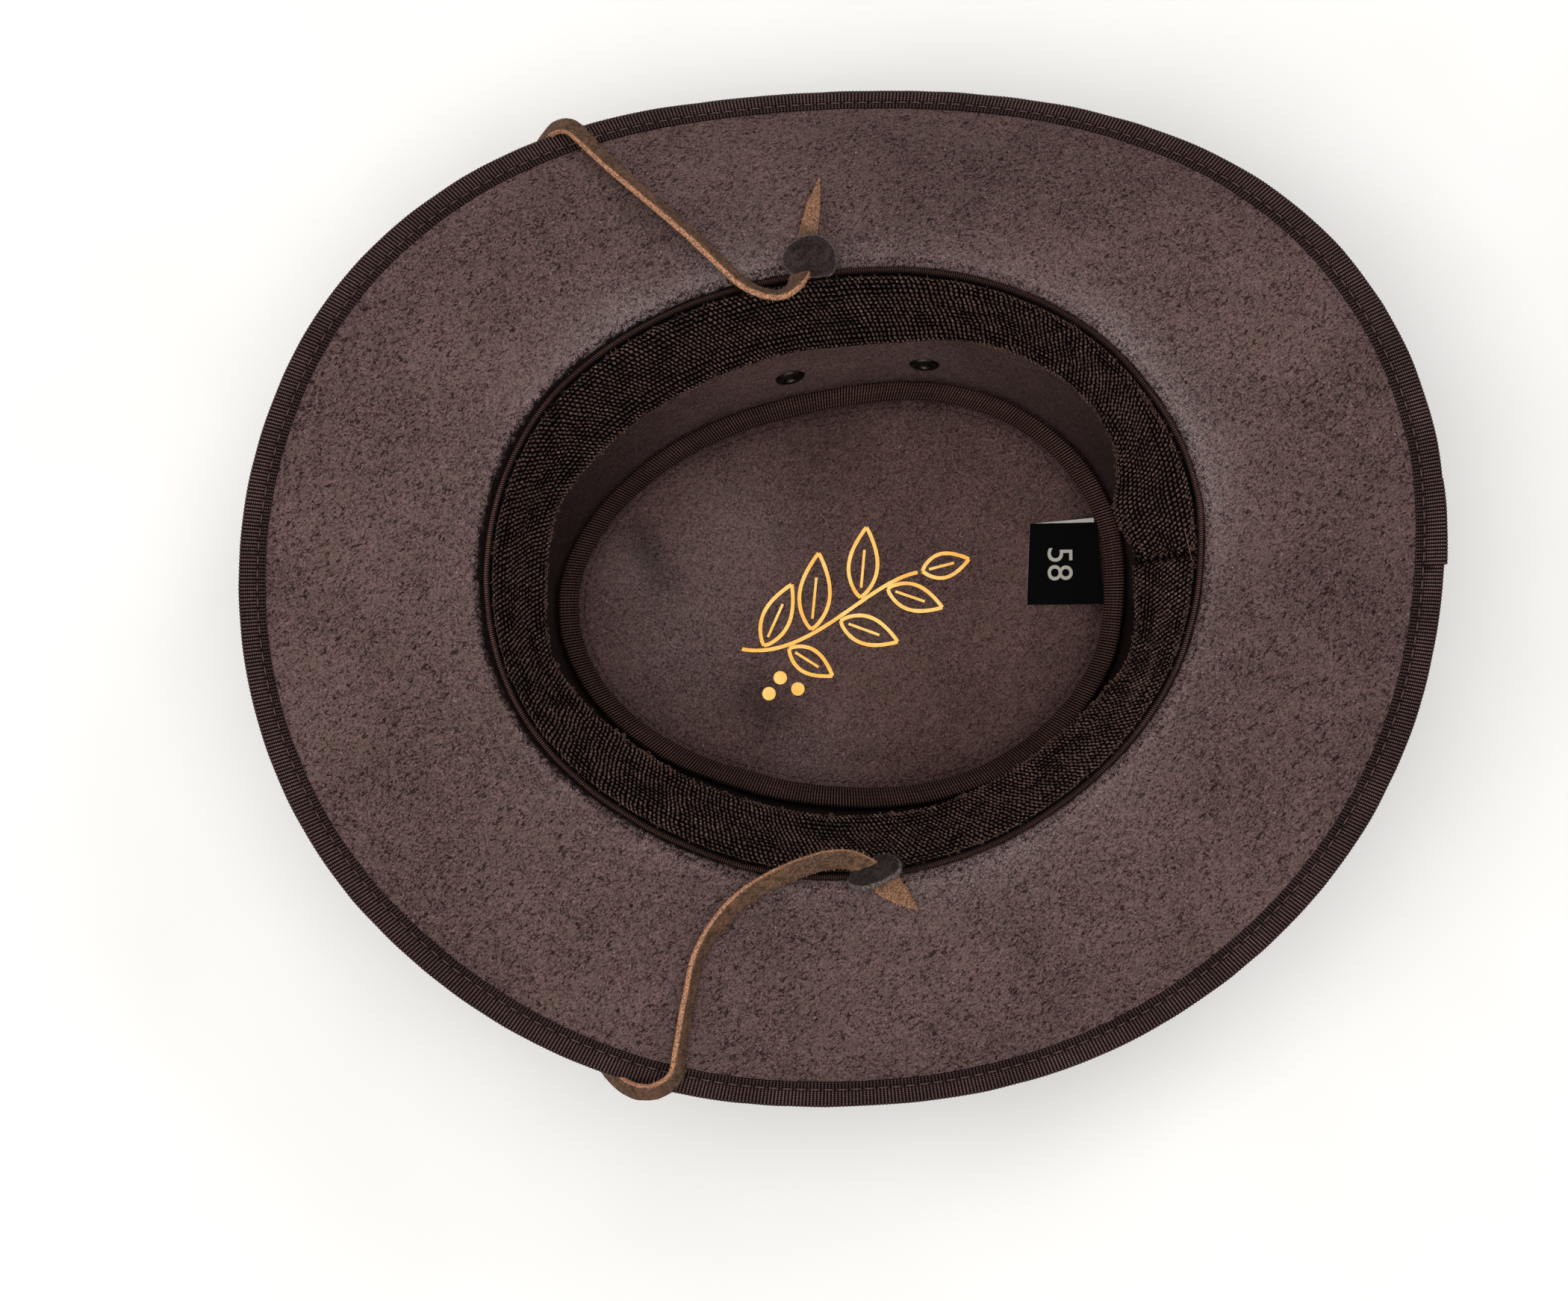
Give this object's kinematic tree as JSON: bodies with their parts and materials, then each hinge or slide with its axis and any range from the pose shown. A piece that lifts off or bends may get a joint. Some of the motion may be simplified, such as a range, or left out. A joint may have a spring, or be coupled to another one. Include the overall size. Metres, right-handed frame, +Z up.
{
  "type": "leather bush hat",
  "caption": "Wide-brimmed split-leather bush hat lying on its crown, with bound brim edge, elastic sweatband, vent eyelets and a leather lace chin strap.",
  "frame": {"origin": "on the surface under the crown tip, at the middle of the tip's flat outer face", "axes": "+Z up out of the head opening, because the hat lies on its crown; +X towards the back of the hat, where the sweatband and brim binding are joined"},
  "size_m": [0.3375, 0.2941, 0.1164],
  "materials": {
    "split_leather": "dark brown split leather, napped face",
    "twill_tape": "ribbed twill tape, dark brown",
    "grosgrain_ribbon": "grosgrain ribbon, dark brown",
    "woven_elastic": "coarse woven elastic, black brown",
    "antique_metal": "dark antique plated brass",
    "lace_leather": "brown lace leather with pale raw edges",
    "washer_leather": "black split leather",
    "label_cloth": "black woven label with a white back"
  },
  "bodies": {
    "root": {"crown_tip": "split_leather", "crown_side": "split_leather", "tip_binding": "twill_tape", "brim": "split_leather", "brim_binding": "grosgrain_ribbon", "sweatband_cord": "woven_elastic", "sweatband": "woven_elastic", "eyelet_1": "antique_metal", "eyelet_2": "antique_metal", "eyelet_3": "antique_metal", "eyelet_4": "antique_metal", "chin_lace": "lace_leather", "strap_washer_1": "washer_leather", "strap_washer_2": "washer_leather", "label": "label_cloth"}
  },
  "joints": []
}
